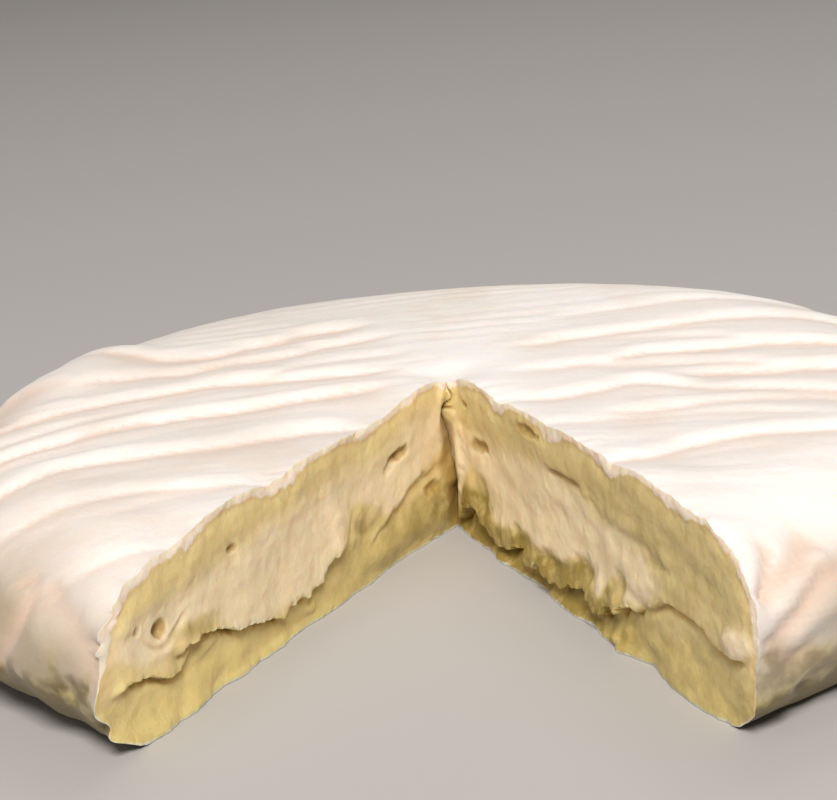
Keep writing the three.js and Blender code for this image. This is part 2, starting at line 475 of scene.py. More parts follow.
def lineDistance(places, spots):
    # the shortest distance from each place to a line of straight pieces
    nearest = np.full(len(places), np.inf)
    for start, end in zip(spots[:-1], spots[1:]):
        way = end - start
        along = np.clip((places - start) @ way / (way @ way), 0, 1)
        nearest = np.minimum(nearest, np.linalg.norm(places - start - along[:, None] * way, axis=1))
    return nearest


def creaseRelief(around, z):
    # on the unrolled side, each crease is minus its depth times a bell of the distance to its line
    relief = np.zeros_like(z)
    foldShade = np.zeros_like(z)
    wander = 0.9 * noiseAt(sheet(around * radius, z), 5.0, 44)
    unrolled = np.stack([around * radius, z + wander], axis=-1)
    for line, depth, reach in rind["creases"]:
        gap = lineDistance(unrolled, np.array(line, float) * [np.radians(1) * radius, 1])
        relief -= depth * bell(gap, reach)
        # painted shade in each crease, widest round its line; ridges get none
        tint = np.clip(0.9 * depth, 0, 1)
        foldShade = np.maximum(foldShade, tint * (0.75 * bell(gap, reach) + 0.25 * bell(gap, 2.5 * reach)))
    return relief, foldShade


def wrinkleRelief(x, y):
    # round crests, sharp valleys: the size of a sine of the distance across the grain, warped by noise
    across, away = acrossGrain(x, y)
    bent = away + 0.0015 * (across - 35) ** 2
    places = sheet(across, away * 1.6)
    bent = bent + 3.5 * noiseAt(places, 34.0, 11) + 1.2 * noiseAt(places, 13.0, 12)
    spacing = np.clip(9.5 - 0.05 * bent, 4, 16)
    phase = -np.log(spacing) / 0.05
    ripple = np.abs(np.sin(np.pi * phase)) - 0.64
    patch = easeStep(-0.5, 0.6, noiseAt(places, 30.0, 13))
    fineBent = bent + 1.6 * noiseAt(places, 9.0, 14)
    fineRipple = np.abs(np.sin(np.pi * fineBent / 3.4)) - 0.64
    finePatch = easeStep(-0.3, 0.7, noiseAt(places, 18.0, 15))
    return rind["wrinkles"] * ripple * patch + rind["fineWrinkles"] * fineRipple * finePatch


def rindTints(at):
    # how aged and how damp each place of the rind is, both partly painted shade: both end at a height that
    # wanders with noise
    x, y, z = at.T
    around = np.degrees(np.arctan2(y, x))
    agedAndShade = lineAt(rind["agedAndShade"], around) * (1 - easeStep(17, 37, z + 4 * noiseAt(at, 24.0, 31)))
    # painted shade over the back left of the top
    topBackShade = 0.12 * easeStep(10, 80, y) + 0.3 * easeStep(20, 95, 0.7 * y - 0.75 * x)
    agedAndShade = np.maximum(agedAndShade, topBackShade * easeStep(20, 28, z))
    patches = noiseAt(at, 11.0, 32) + 0.7 * roughAt(at, 4.5, 33, 3)
    dampAndShade = 1 - easeStep(-4.5, 3.5, z - lineAt(rind["dampHeight"], around) - 5.0 * patches)
    # darker towards the bottom
    low = (0.8 + 0.6 * noiseAt(at, 9.0, 34)) * (1 - easeStep(2.0, 9.0, z))
    return agedAndShade, dampAndShade * lineAt(rind["dampShare"], around) + np.maximum(low, 0)


def rindRelief(at):
    # how far each place of the rind moves along its normal, and how much painted shade it gets in the folds
    # of the top and the creases of the side
    x, y, z = at.T
    around = np.arctan2(y, x)
    fromAxis = np.hypot(x, y)
    upper = easeStep(10, 27, z)  # 1 on the top, 0 on the foot
    folds, foldShade = foldRelief(x, y)
    relief = upper * (folds + wrinkleRelief(x, y))
    side = easeStep(60, 92, fromAxis) * (1 - easeStep(26, 33, z)) * easeStep(0, 6, z)
    relief += side * rind["dents"] * roughAt(at, 26.0, 21, 2)
    crimps = 0.6 - 2 * np.abs(noiseAt(sheet(around * radius, z * 0.45), 11.0, 23))
    relief += side * rind["crimps"] * crimps
    relief += side * rind["grit"] * roughAt(at, 5.0, 25, 2)
    relief += 0.05 * upper * noiseAt(at, 3.2, 27)
    creases, creaseShade = creaseRelief(around, z)
    shoulder = easeStep(70, 90, fromAxis)
    relief += shoulder * creases
    relief -= easeStep(20, 28, z) * rind["dipAtPoint"] * bell(fromPoint(at), 6.5)
    for name, turn in (("right", turnRight), ("left", turnLeft)):
        s, aside = swing(x - pointOfCut[0], y - pointOfCut[1], turn)
        relief += easeStep(14, 24, z) * lineAt(cuts[name]["rimLine"], s) * bell(aside, 9.0)
    return relief, np.maximum(foldShade * upper, shoulder * creaseShade)


# The two cut faces. Places on them are (distance from the point of the cut, height), and lines run over
# that distance. A ledge is a torn lip: it stands proud above its line and falls back below it over a crack.
# Its ends are where it starts, where it stops and how softly. Its rise and drop each come with a reach.
# Pits, dents and flaps are ovals: middle, half sizes, tilt, and depth or height, then a flap's paleness.
leftCut = {
    # how far the foot of the face stands out, and how far its upper edge is lifted
    "footLine": [
        (0, 0), (5, -0.5), (14, -1.1), (20, -1.5), (29, -1.2), (34, -0.7), (41, -0.9), (48, -0.4),
        (54, -1.0), (62, -0.8), (66, -0.2), (75, -0.4), (81, 0.2), (86, -0.6), (91, 0.2), (95, 1.0),
        (98, 0.6), (103, 1.1), (109, 0.9), (122, 0.2),
    ],
    "rimLine": [
        (0, 0), (10, -0.2), (14, -0.6), (20, -1.2), (29, -1.9), (35, -1.0), (41, -0.6), (50, -0.3),
        (56, -0.3), (62, -0.9), (66, -1.1), (71, 0.4), (76, 0.5), (81, 0.4), (86, -0.2), (92, -1.6),
        (95, -1.7), (99, -0.9), (106, -0.2), (110, 0.8), (122, 0),
    ],
    # how far the torn side edge stands out, by height
    "tear": [
        (0, 0), (2.6, -0.2), (5.2, 1.6), (6.5, 0.5), (10, 2.0), (12.1, 2.3), (14.3, 1.1), (16.1, 0.3),
        (17.7, -0.2), (19.6, 0.2), (20.9, 1.5), (21.6, -0.1), (22.8, 1.0), (24.3, 0.9), (25.3, -1.4),
        (27, 0), (29.6, 0.7), (33, 0),
    ],
    # the dark ripe colour along the foot strip: partly olive ripeness, mostly painted shade under the
    # overhang, darkest near the point of the cut
    "ripeAndShadeAtFoot": [(0, 0.75), (12, 0.6), (25, 0.45), (50, 0.3), (75, 0.15), (122, 0.1)],
    # ripeTop: olive ripeness in the upper paste, kept at 0 near the point of the cut as painted light there
    "ripeTop": [(0, 0.0), (34, 0.04), (60, 0.1), (122, 0.12)],
    "rindThick": [
        (0, 1.0), (20, 1.2), (28, 1.2), (33, 2.0), (38, 1.3), (54, 1.3), (62, 2.1), (70, 1.5), (84, 1.2),
        (92, 1.9), (98, 1.3), (106, 1.7), (116, 2.2), (122, 2.2),
    ],
    "flow": 0.12,
    # the pale core lies between these heights
    "ceiling": [
        (0, 27), (12, 27.5), (20, 26.5), (27, 24), (34, 24), (42, 24.4), (58, 24.2), (72, 23.6), (82, 22.5),
        (94, 21.5), (104, 21.5), (112, 20.5), (120, 19),
    ],
    "floor": [
        (0, 20), (8, 18), (16, 15.5), (21, 12.6), (26, 11.6), (30, 13.8), (35, 17.0), (39, 18.5),
        (41.5, 17.5), (45, 13.4), (48, 12.4), (54, 8.5), (62, 8.5), (72, 8.4), (83, 11.4), (90, 15.5),
        (97, 16), (103, 13.5), (108, 14), (114, 17), (120, 18),
    ],
    "ledges": [
        {"line": [(-4, 17), (9, 15.8), (18, 15.4), (23, 13), (27.5, 11.4), (33, 8.8), (38, 5.5), (42, 4)],
         "ends": (9, 31, 6), "rise": (0.8, 6), "drop": (0.6, 8), "crack": 0.2, "ragged": 0.6, "droop": 0.3,
         "blur": 2.0},
        {"line": [(38, 19), (41, 16), (43.2, 12.6), (46, 12.4), (49, 11.6), (54, 8.6), (58, 8.0),
             (62.5, 8.4), (66.5, 7.3), (71, 8.2), (76, 9.8), (83, 11.3), (88, 13.1), (94, 13.6),
             (100, 12.6), (106, 13.4), (112, 14.5)],
         "ends": (43, 97, 4), "rise": (1.5, 7), "drop": (1.2, 9), "crack": 1.5, "ragged": 0.9,
         "droop": 1.2},
        {"line": [(84, 13.5), (92, 12.3), (96.5, 9.8), (101, 9.6), (106, 11.6), (112, 12.6), (117, 11)],
         "ends": (90, 114, 3), "rise": (0.9, 4), "drop": (0.9, 6), "crack": 0.9, "ragged": 0.5,
         "droop": 0.6},
        {"line": [(36, 24.6), (42, 24.8), (58, 25), (72, 24.6), (80, 24.8), (88, 23.8)],
         "ends": (46, 83, 9), "rise": (0.0, 4), "drop": (-0.4, 5), "crack": 0.16, "ragged": 0.5,
         "droop": 0.0, "blur": 3.0},
        {"line": [(93, 20.2), (96, 19.4), (99, 17.4), (102.5, 16.4), (105.5, 17.6), (108, 20.4)],
         "ends": (95, 107, 2), "rise": (0.1, 2), "drop": (-0.45, 3), "crack": 0.5, "ragged": 0.2,
         "droop": 0.0},
    ],
    "pits": [
        ((21.9, 23.2), (3.1, 1.2), -6, 1.9),
        ((25.2, 21.8), (2.4, 1.0), -28, 0.6),
        ((102.4, 18.5), (1.8, 1.7), 20, 2.0),
        ((80.0, 24.7), (1.7, 0.7), 8, 1.0),
        ((8.6, 11.6), (3.2, 1.5), 6, 1.0),
        ((108.5, 20.4), (1.0, 0.7), 0, 0.7),
    ],
    "dents": [
        ((34.0, 12.0), (7.0, 4.0), 20, 0.5),
        ((92.0, 15.2), (7.0, 1.6), 4, 0.5),
    ],
    "flaps": [
        ((45.0, 15.6), (4.2, 5.0), 8, 0.45, 0),
        ((55.0, 3.4), (1.7, 1.8), -20, 0.7, 0),
        ((100.0, 14.6), (6.0, 2.0), 0, 0.6, 0),
        ((88.0, 9.8), (5.0, 1.6), -14, 0.6, 0),
        ((112.0, 22.5), (3.0, 2.0), 20, 0.6, 0),
        ((114.0, 12.0), (1.8, 1.6), 0, 0.7, 0),
    ],
}
rightCut = {
    "footLine": [
        (0, 0), (11, 0.3), (17, 0.1), (23, 0.9), (28, 0.5), (35, -0.2), (39, -0.5), (45, 0.4), (55, 0.8),
        (61, 0.0), (67, 0.6), (72, 0.8), (74.5, 1.7), (77, 0.6), (80, -0.2), (83, -1.0), (88, -0.1),
        (104, 0.5), (110, -0.6), (122, -0.4),
    ],
    "rimLine": [
        (0, 0), (8, 0.4), (14, 0.7), (20, 0.3), (24, -0.4), (29, 0.6), (36, 1.0), (44, 1.1), (50, 1.4),
        (58, 1.6), (66, 1.3), (72, 1.2), (80, 1.8), (86, 1.5), (92, 0.8), (95, 0.9), (101, 1.4), (107, 2.2),
        (112, 2.2), (118, 1.5), (122, 0.5),
    ],
    "tear": [(0, 0), (6, 0.3), (11, -0.2), (15, 0.4), (19, -0.1), (24, 0.2), (33, 0)],
    # as on the left: ripeness and painted shade along the foot strip
    "ripeAndShadeAtFoot": [(0, 1.0), (20, 1.0), (45, 0.95), (65, 0.8), (80, 0.45), (100, 0.35), (122, 0.3)],
    "ripeTop": [(0, 0.1), (20, 0.15), (45, 0.21), (80, 0.25), (122, 0.27)],
    "rindThick": [
        (0, 0.9), (12, 1.2), (20, 1.1), (24, 2.3), (28, 1.2), (42, 1.2), (48, 2.4), (54, 1.2), (64, 1.3),
        (71, 2.4), (77, 1.1), (90, 1.3), (96, 2.2), (101, 1.1), (112, 1.0), (121, 1.2),
    ],
    "flow": 0.22,
    "ceiling": [
        (0, 23), (8, 22), (16, 22.5), (24, 23), (34, 24.5), (48, 25.5), (56, 25), (64, 21.5), (72, 22),
        (80, 21), (86, 19), (92, 17),
    ],
    "floor": [
        (0, 6), (3, 5), (8, 14), (14, 15), (19, 9), (24, 8), (30, 9), (37, 9.5), (45, 9), (52, 10),
        (58, 12), (63, 9), (67, 8), (71, 13), (77, 11), (83, 12), (88, 15.5), (93, 17),
    ],
    "ledges": [
        {"line": [(-4, 8), (1, 4.8), (3, 4.4), (6, 7), (8.5, 8), (13, 7), (17, 6.6), (19, 5.2), (25, 4.3),
             (30, 6.3), (34, 5.7), (37.5, 5), (40.5, 6.2), (45, 4.7), (50, 5.7), (54, 6.4), (62, 6.5),
             (66, 5.3), (70, 7.6), (77, 10.2), (83, 11.3), (88, 14.4), (94, 15.6)],
         "ends": (1, 80, 4), "rise": (1.4, 6), "drop": (1.9, 9), "crack": 1.5, "ragged": 1.4, "droop": 1.3},
        {"line": [(70, 11.6), (78, 10.5), (84, 12.0), (90, 15.2), (97, 15.6), (103, 15.2), (108, 13.6),
             (118, 14.2)],
         "ends": (84, 115, 3), "rise": (0.6, 4), "drop": (0.7, 7), "crack": 0.7, "ragged": 0.4,
         "droop": 0.4},
        {"line": [(42, 27.2), (47, 27.3), (52, 27.6), (58, 27.4), (66, 25)],
         "ends": (46, 58, 2), "rise": (0.3, 3), "drop": (0.5, 4), "crack": 0.7, "ragged": 0.3,
         "droop": 0.3},
        {"line": [(56, 27), (64, 24.6), (74, 24), (84, 23.5), (96, 21)],
         "ends": (60, 92, 7), "rise": (0.25, 4), "drop": (0.3, 5), "crack": 0.2, "ragged": 1.3,
         "droop": 0.1, "blur": 2.5},
    ],
    "pits": [
        ((38.0, 31.8), (4.5, 1.0), 0, 1.1),
        ((14.2, 21.8), (4.2, 1.3), 9, 1.2),
        ((8.5, 29.3), (1.4, 0.7), 0, 0.8),
        ((87.0, 21.0), (4.0, 1.2), 8, 0.5),
    ],
    "dents": [
        ((15.0, 11.0), (6.0, 4.0), 0, 1.2),
        ((33.0, 8.4), (4.6, 2.2), 0, 1.3),
        ((45.5, 8.0), (5.0, 2.0), 0, 1.3),
        ((59.5, 10.2), (5.0, 3.2), 10, 1.4),
        ((74.5, 12.8), (3.6, 2.2), 20, 1.2),
    ],
    "flaps": [
        ((114.8, 16.6), (5.2, 3.2), 14, 0.9, 1.3),
        ((71.5, 1.2), (2.2, 1.6), 40, 1.5, 0),
        ((3.6, 16.8), (3.6, 9.5), -5, 1.0, 1.1),
        ((25.0, 8.0), (1.3, 3.0), 0, 0.35, 0),
        ((66.0, 9.0), (1.6, 3.6), 0, 0.35, 0),
        ((82.0, 15.0), (5.0, 2.4), 20, 0.5, 0),
    ],
}
cuts = {"left": leftCut, "right": rightCut}


def ovalAt(oval, s, z):
    # 0 at the middle of an oval and 1 on its edge
    middle, half, tilt = oval[:3]
    along, across = swing(s - middle[0], z - middle[1], np.radians(tilt))
    return np.hypot(along / half[0], across / half[1])


def ledgeRelief(ledge, s, z, tooth):
    # the rise dies away upwards and the drop downwards as e^(-height / reach), and the crack is a bell
    (rise, riseReach), (drop, dropReach) = ledge["rise"], ledge["drop"]
    smooth = lineAt(ledge["line"], s) - z
    below = smooth + ledge["ragged"] * tooth
    start, end, fade = ledge["ends"]
    strength = easeStep(start - fade, start + fade, s) * (1 - easeStep(end - fade, end + fade, s))
    blur = ledge.get("blur", 1.0)
    side = easeStep(-0.45 * blur, 0.35 * blur, below)
    proud = rise * np.exp(np.minimum(smooth, 0) / riseReach) * (1 - side)
    back = drop * np.exp(-np.maximum(smooth, 0) / dropReach) * side
    crack = ledge["crack"] * bell(below - 0.9, 0.8 * blur)
    droop = ledge["droop"] * bell(below + 0.4, 0.9)
    return strength * (proud - back - crack), strength * droop, strength * crack


def cutRelief(name, s, z, edge):
    # how far each place of a cut face moves outwards, down and along it, with its share of each colour.
    # Every part is a strength times noise or a hump, eased in and out, and the parts are summed.
    cut = cuts[name]
    seed = 100 if name == "left" else 200
    flat = sheet(s, z)
    streaked = sheet(s + 0.25 * z, z * 0.22)
    upright = sheet(s, z * 0.1)
    tooth = noiseAt(upright, 3.1, seed + 1) + 0.6 * noiseAt(upright, 1.3, seed + 2)
    out = 0.5 * roughAt(flat * [1, 1.6, 1], 24.0, seed + 3)
    out += 0.3 * roughAt(flat * [1, 1.4, 1], 9.0, seed + 6)
    out += 0.16 * (0.4 - np.abs(noiseAt(streaked, 6.0, seed + 9)))
    # the rind is thick along the top and thins to a skin round the side and the foot
    upper = easeStep(13, 22, z)
    uneven = 0.35 * noiseAt(flat, 2.6, seed + 8) + 0.35 * noiseAt(flat, 1.3, seed + 10)
    inside = edge - (0.2 + upper * lineAt(cut["rindThick"], s) * (1 + uneven))
    out += upper * (0.12 * (1 - easeStep(-0.5, 0.5, inside)) - 0.1 * bell(inside - 0.6, 0.8))
    out += upper * 0.25 * easeStep(0, 3.5, inside) * (1 - easeStep(5, 9, inside))
    droop, hollowShade, dentShade, pale = np.zeros((4, len(s)))
    for ledge in cut["ledges"]:
        ledgeOut, ledgeDroop, crack = ledgeRelief(ledge, s, z, tooth)
        out += ledgeOut
        droop += ledgeDroop
        # painted shade in each crack under a ledge
        hollowShade = np.maximum(hollowShade, crack)
    for pit in cut["pits"]:
        far = ovalAt(pit, s, z) + 0.4 * noiseAt(flat, 2.0, seed + 11)
        out -= pit[3] * (1 - easeStep(0.05, 1.3, far))
        # painted shade inside each pit
        hollowShade = np.maximum(hollowShade, (1 - easeStep(0.7, 1.45, far)) * min(1.0, pit[3] / 1.3))
    for dent in cut["dents"]:
        far = ovalAt(dent, s, z) + 0.45 * noiseAt(flat, 2.8, seed + 18) + 0.2 * tooth
        deep = 1 - easeStep(0.0, 1.35, far)
        out -= dent[3] * deep
        # painted shade in each dent
        dentShade = np.maximum(dentShade, deep)
    for flap in cut["flaps"]:
        far = ovalAt(flap, s, z) + 0.22 * noiseAt(flat, 2.2, seed + 12)
        raised = 1 - easeStep(0.3, 1.2, far)
        out += flap[3] * raised
        pale = np.maximum(pale, flap[4] * raised)
    # the pale core keeps between its floor and its ceiling; the dark ripe colour gathers at the foot,
    # partly olive ripeness and partly painted shade under the overhang
    floor = lineAt(cut["floor"], s)
    endOfCore = cut["ceiling"][-1][0]
    edgeNoise = 1.3 * noiseAt(flat, 6.0, seed + 13) + 0.7 * tooth
    core = easeStep(-4.5, 2.0, lineAt(cut["ceiling"], s) + edgeNoise - z)
    core = core * easeStep(-1.0, 1.4, z - floor - 0.8 * tooth)
    core = core * (1 - easeStep(endOfCore - 8, endOfCore, s))
    core = np.maximum(core * (1 - 0.85 * dentShade), pale)
    out += core * (0.1 * roughAt(flat, 4.5, seed + 14, 2) + 0.015 * noiseAt(streaked, 1.2, seed + 15))
    foot = 1 - easeStep(-1.5, 1.0, z - np.minimum(floor, 12))
    ripeAndShade = np.maximum(dentShade * 0.6, foot * lineAt(cut["ripeAndShadeAtFoot"], s))
    ripeAndShade = np.maximum(ripeAndShade, lineAt(cut["ripeTop"], s) * (1 - core) * easeStep(12, 20, z))
    # the paste has flowed along the cut: noise drawn out along s
    flow = easeStep(-0.1, 0.8, noiseAt(sheet(s * 0.3, z + 0.1 * s), 3.0, seed + 23))
    ripeAndShade += cut["flow"] * flow * (1 - 0.6 * core) * easeStep(0.5, 3.0, inside)
    # everything calms down towards the rind, which holds the edge straight
    hold = easeStep(0.0, 2.2, edge)
    ragged = 0.3 * noiseAt(flat, 1.9, seed + 16) + 0.35 * noiseAt(flat, 5.0, seed + 17)
    out = hold * out + (1 - hold) * ragged + lineAt(cut["footLine"], s) * (1 - easeStep(0.5, 6, z))
    # the torn edge wanders in the plane of the cut, most of all down the side
    side = easeStep(96, 108, s)
    byEdge = 1 - easeStep(0, 3.5, edge)
    torn = (0.3 + 0.9 * side) * (noiseAt(flat, 5.5, seed + 20) + 0.5 * noiseAt(flat, 2.2, seed + 21))
    torn = torn * byEdge
    steep = side * (1 - easeStep(18, 27, z))
    along = 0.6 * steep * torn + side * lineAt(cut["tear"], z) * byEdge
    down = hold * droop - (1 - steep) * torn * upper
    return {"out": out, "down": down, "along": along, "core": core, "inside": inside, "ripeAndShade": ripeAndShade,
            "hollowShade": np.clip(hollowShade * hold, 0, 1)}


# The corner where the two cuts meet, by height in millimetres.
joint = {
    "forward": [
        (0, -0.3), (1.5, -1.6), (4, -3.6), (8, -3.4), (10.5, -0.8), (13, -1.0), (17, -1.9), (21, -1.3),
        (25, 1.0), (29, 2.6), (35, 2.2),
    ],
    "aside": [(0, 0.1), (8, 0.3), (12, 0.3), (16, -0.3), (21, -0.8), (25, -1.6), (30, -0.3), (35, 0.4)],
    # painted shade in the corner where the two faces meet, by height
    "cornerShade": [(0, 1.0), (8, 1.0), (10.5, 0.8), (13, 0.95), (20, 1.0), (25, 0.6), (28, 0.1), (35, 0.1)],
    "follow": 8.0,  # how far out the rind follows the corner
}


def nickAt(x, z):
    # two thin cracks in the lump: one runs down, one across
    down = bell(x - 0.2 - 1.0 * np.sin(z * 0.9), 0.38) * easeStep(23.5, 26, z)
    across = bell(z - 27 - 0.25 * x, 0.4) * easeStep(-2.2, -1.2, x)
    return np.maximum(down, across) * (1 - 0.7 * easeStep(30.5, 33, z))


def normalsOf(places, faces):
    # each vertex takes the sum of its faces' cross products
    a, b, c = places[faces[:, 0]], places[faces[:, 1]], places[faces[:, 2]]
    across = np.cross(b - a, c - a)
    total = np.zeros_like(places)
    for k in range(3):
        for axis in range(3):
            total[:, axis] += np.bincount(faces[:, k], across[:, axis], len(places))
    return total / np.maximum(np.linalg.norm(total, axis=1, keepdims=True), 1e-9)


def edgeDistance(flat, outline):
    # the shortest distance in the plane of the cut from each place to the outline's spots
    nearest = np.empty(len(flat))
    for first in range(0, len(flat), 2000):
        part = flat[first:first + 2000]
        gaps = np.hypot(part[:, 0, None] - outline[None, :, 0], part[:, 1, None] - outline[None, :, 1])
        nearest[first:first + 2000] = gaps.min(axis=1)
    return nearest


def standColumns(places):
    # the columns of the cut faces stand between the two edges
    for band in net["bands"].values():
        for column in band["columns"]:
            if len(column) > 2:
                t = np.linspace(0, 1, len(column))[1:-1, None]
                places[column[1:-1]] = places[column[0]] * (1 - t) + places[column[-1]] * t


def shapeCut(name, side, places, moved, looks):
    band = net["bands"][name]
    along = np.array([np.cos(band["turn"]), np.sin(band["turn"]), 0.0])
    outward = side * np.array([along[1], -along[0], 0.0])
    ids = np.unique(np.concatenate(band["columns"]))
    s = (places[ids, :2] - pointOfCut) @ along[:2]
    z = places[ids, 2]
    edgeIds = band["ids"][:, 0]
    outline = np.stack([(places[edgeIds, :2] - pointOfCut) @ along[:2], places[edgeIds, 2]], axis=1)
    face = cutRelief(name, s, z, edgeDistance(np.stack([s, z], axis=1), outline))
    shift = face["out"][:, None] * outward + face["along"][:, None] * along
    shift[:, 2] -= face["down"]
    # where the two faces meet, both follow one broken line, and a torn lump hangs in its upper part
    meet = 1 - easeStep(0.3, 3.8 + 1.7 * easeStep(7, 13, z), s)
    x = places[ids, 0] - pointOfCut[0]
    upright = sheet(x, z)
    nick = nickAt(x, z)
    aside = lineAt(joint["aside"], z) + 0.4 * noiseAt(upright + 3, 3.0, 301)
    inward = -lineAt(joint["forward"], z) + 0.5 * noiseAt(upright + 7, 2.6, 302) + 1.3 * nick
    shift = (1 - meet)[:, None] * shift + meet[:, None] * sheet(aside, inward)
    moved[ids] = places[ids] + shift
    # painted shade in the corner where the faces meet, widest on the left, and in the cracks of the lump
    if name == "left":
        shadeNearCorner = 1 - easeStep(0.5, 4.0 + 5.0 * bell(z - 15, 7.0), s + 1.5 * noiseAt(upright + 5, 3.0, 303))
    else:
        shadeNearCorner = 0.5 * (1 - easeStep(0.2, 1.6, s))
    cornerShade = shadeNearCorner * lineAt(joint["cornerShade"], z) + meet * nick
    for key in ("inside", "core", "ripeAndShade"):
        looks[key][ids] = face[key]
    looks["hollowShade"][ids] = np.maximum(face["hollowShade"], np.clip(cornerShade, 0, 1))
    # the fine band of rind beside the cut follows its edge, by (1 - distance / width)^2
    shiftOf = np.zeros_like(places)
    shiftOf[ids] = shift
    rows = band["ids"][1:-1, 1:]
    near = np.clip(1 - fromPoint(places[rows]) / joint["follow"], 0, 1) ** 2
    follow = (1 - np.array(wheel["bandOffsets"][1:]) / wheel["bandWidth"]) ** 2
    follow = follow + (1 - follow) * near
    moved[rows] += shiftOf[edgeIds[1:-1], None, :] * follow[:, :, None]


def followBands(places, moved, onRind):
    # round the point of the cut the rest of the rind follows the bands' outer rows: an average of their
    # shifts by 1 / distance^4, fading out with distance
    bands = [band["ids"] for band in net["bands"].values()]
    rest = np.setdiff1d(onRind, np.concatenate([ids.ravel() for ids in bands]))
    rest = rest[fromPoint(places[rest]) < 14]
    outer = np.concatenate([ids[:, -1] for ids in bands])
    outer = outer[fromPoint(places[outer]) < 18]
    gaps = np.linalg.norm(places[rest, None, :] - places[None, outer, :], axis=2)
    share = 1 / (gaps ** 2 + 0.02) ** 2
    share /= share.sum(axis=1, keepdims=True)
    fade = np.clip(1 - gaps.min(axis=1) / 6, 0, 1) ** 2
    fade *= np.clip((14 - fromPoint(places[rest])) / 4, 0, 1)
    moved[rest] += fade[:, None] * (share @ (moved[outer] - places[outer]))


def shapeWheel():
    places = np.concatenate(net["places"])
    rindFaces = np.concatenate(net["rind"])
    flat = (rindFaces == np.roll(rindFaces, 1, axis=1)).any(axis=1)  # where a band starts from a tip
    rindFaces = rindFaces[~flat]
    onRind = np.unique(rindFaces)
    relief, foldShade = rindRelief(places[onRind])
    places[onRind] += normalsOf(places, rindFaces)[onRind] * relief[:, None]
    keys = ("foldShade", "agedAndShade", "dampAndShade", "inside", "core", "hollowShade", "ripeAndShade")
    looks = {key: np.zeros(len(places)) for key in keys}
    looks["foldShade"][onRind] = foldShade
    looks["agedAndShade"][onRind], looks["dampAndShade"][onRind] = rindTints(places[onRind])
    standColumns(places)
    moved = places.copy()
    shapeCut("right", 1, places, moved, looks)
    shapeCut("left", -1, places, moved, looks)
    followBands(places, moved, onRind)
    moved[:, 2] = np.maximum(moved[:, 2], 0.0)
    return moved, rindFaces, looks


def makeWheel():
    buildNet()
    places, rindFaces, looks = shapeWheel()
    places = (places + [axisX, axisY, 0.0]) * mm
    faces = np.concatenate([rindFaces] + net["cut"])
    mesh = bpy.data.meshes.new("cheeseWheel")
    mesh.vertices.add(len(places))
    mesh.vertices.foreach_set("co", places.astype(np.float32).ravel())
    mesh.loops.add(3 * len(faces))
    mesh.loops.foreach_set("vertex_index", faces.astype(np.int32).ravel())
    mesh.polygons.add(len(faces))
    mesh.polygons.foreach_set("loop_start", np.arange(0, 3 * len(faces), 3, dtype=np.int32))
    mesh.polygons.foreach_set("loop_total", np.full(len(faces), 3, np.int32))
    mesh.update(calc_edges=True)
    onCut = np.arange(len(faces)) >= len(rindFaces)
    mesh.polygons.foreach_set("material_index", onCut.astype(np.int32))
    mesh.polygons.foreach_set("use_smooth", np.ones(len(faces), bool))
    for key, values in looks.items():
        attribute = mesh.attributes.new(key, "FLOAT", "POINT")
        attribute.data.foreach_set("value", values.astype(np.float32))
    mesh.set_sharp_from_angle(angle=np.radians(62))
    mesh.validate()
    wheelPiece = bpy.data.objects.new("cheeseWheel", mesh)
    bpy.context.scene.collection.objects.link(wheelPiece)
    print("wheel made:", len(places), "vertices,", len(faces), "faces")
    return wheelPiece


def setInputs(tree, node, inputs):
    # a socket is linked, and anything else is set as the input's own value
    for key, value in inputs.items():
        if isinstance(value, bpy.types.NodeSocket):
            tree.links.new(value, node.inputs[key])
        else:
            node.inputs[key].default_value = value


def addNode(tree, kind, inputs=None, **settings):
    node = tree.nodes.new(kind)
    for key, value in settings.items():
        setattr(node, key, value)
    setInputs(tree, node, inputs or {})
    return node


def newMaterial(name):
    material = bpy.data.materials.new(name)
    material.use_nodes = True
    tree = material.node_tree
    tree.nodes.clear()
    shader = addNode(tree, "ShaderNodeBsdfPrincipled")
    addNode(tree, "ShaderNodeOutputMaterial", {"Surface": shader.outputs[0]})
    return material, tree, shader


def noiseNode(tree, place, size, detail, roughness):
    # size is in millimetres
    inputs = {"Vector": place, "Scale": 1000 / size, "Detail": detail, "Roughness": roughness}
    return addNode(tree, "ShaderNodeTexNoise", inputs).outputs[0]


def rangeNode(tree, value, low, high, start=0.0, end=1.0, way="SMOOTHSTEP"):
    # start below low, end above high, smooth between
    inputs = {0: value, 1: low, 2: high, 3: start, 4: end}
    return addNode(tree, "ShaderNodeMapRange", inputs, interpolation_type=way).outputs[0]


def mathNode(tree, operation, a, b, c=0.0):
    return addNode(tree, "ShaderNodeMath", {0: a, 1: b, 2: c}, operation=operation).outputs[0]


def spread(tree, share, gain, least, value):
    # value times (share * gain + least)
    return mathNode(tree, "MULTIPLY", value, mathNode(tree, "MULTIPLY_ADD", share, gain, least))


def mixNode(tree, share, colourA, colourB):
    return addNode(tree, "ShaderNodeMix", {0: share, 6: colourA, 7: colourB}, data_type="RGBA").outputs[2]


def readNode(tree, name):
    return addNode(tree, "ShaderNodeAttribute", attribute_name=name).outputs["Fac"]


def bumpNode(tree, height, distance, strength, under=None):
    inputs = {"Height": height, "Distance": distance * mm, "Strength": strength}
    if under is not None:
        inputs["Normal"] = under
    return addNode(tree, "ShaderNodeBump", inputs).outputs[0]


bloom = {
    "white": (0.93, 0.90, 0.875, 1),
    "cream": (0.89, 0.82, 0.755, 1),
    # painted shade: the warm colour of the shaded slopes of folds and creases
    "foldShade": (0.69, 0.51, 0.40, 1),
    # side: the aged colour of the side, also used as painted shade on the side, most on the left, and on
    # the back left of the top
    "side": (0.40, 0.33, 0.23, 1),
    # foot and footPale: the damp colour of the foot, darkened with painted shade where it curls under
    "foot": (0.15, 0.105, 0.025, 1),
    "footPale": (0.44, 0.36, 0.135, 1),
}


